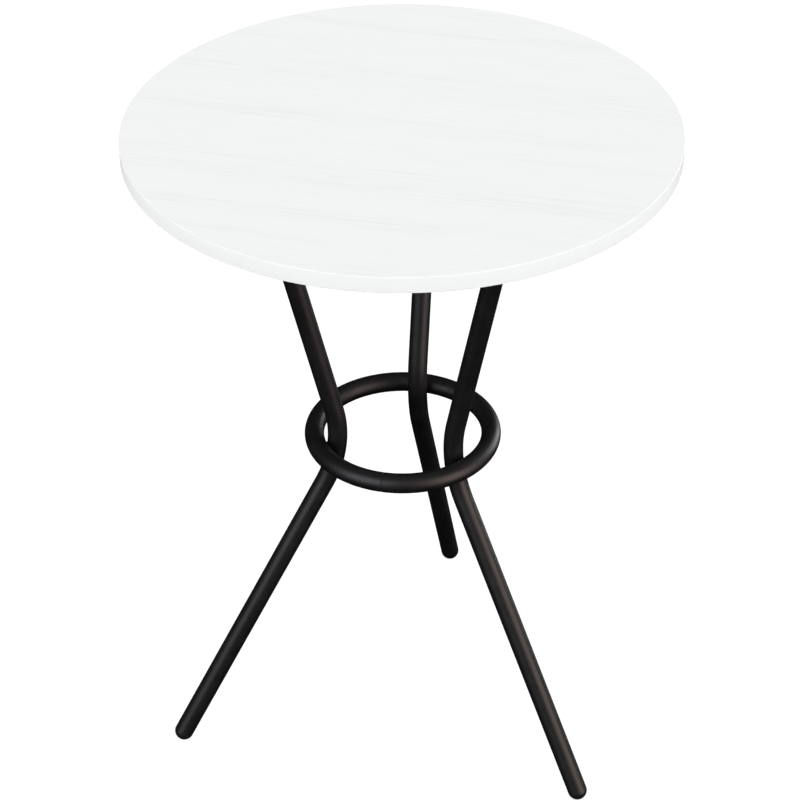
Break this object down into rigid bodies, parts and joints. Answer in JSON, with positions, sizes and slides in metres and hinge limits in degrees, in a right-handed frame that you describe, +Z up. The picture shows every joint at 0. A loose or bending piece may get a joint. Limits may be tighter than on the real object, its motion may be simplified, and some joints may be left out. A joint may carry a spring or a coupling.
{
  "type": "high table",
  "caption": "Round high table for standing at: a white wood-grain top on splayed legs of bent black tube, which a tube ring holds together at the waist.",
  "frame": {"origin": "on the floor, under the middle of the round top", "axes": "+Z up, +Y from the table's axis towards the rear leg, +X to the right with the left and right legs in front"},
  "size_m": [0.8, 0.7999, 1.05],
  "materials": {
    "board_core": "raw chipboard, pressed and sanded",
    "white_laminate": "matt white laminate with a faint pressed wood grain",
    "white_edge_band": "matt white, rounded corners",
    "black_powder_coat": "satin powder coat",
    "black_glide": "moulded, satin",
    "screw_steel": "blackened steel",
    "insert_brass": "turned, bare"
  },
  "bodies": {
    "root": {"tabletop_core": "board_core", "top_laminate": "white_laminate", "underside_laminate": "white_laminate", "edge_band": "white_edge_band", "brace_ring": "black_powder_coat", "ring_butt_weld": "black_powder_coat", "rear_leg": "black_powder_coat", "rear_foot_glide": "black_glide", "rear_ring_weld": "black_powder_coat", "rear_plate_weld": "black_powder_coat", "rear_mounting_plate": "black_powder_coat", "rear_plate_screws": "screw_steel", "rear_threaded_inserts": "insert_brass", "left_leg": "black_powder_coat", "left_foot_glide": "black_glide", "left_ring_weld": "black_powder_coat", "left_plate_weld": "black_powder_coat", "left_mounting_plate": "black_powder_coat", "left_plate_screws": "screw_steel", "left_threaded_inserts": "insert_brass", "right_leg": "black_powder_coat", "right_foot_glide": "black_glide", "right_ring_weld": "black_powder_coat", "right_plate_weld": "black_powder_coat", "right_mounting_plate": "black_powder_coat", "right_plate_screws": "screw_steel", "right_threaded_inserts": "insert_brass"}
  },
  "joints": []
}
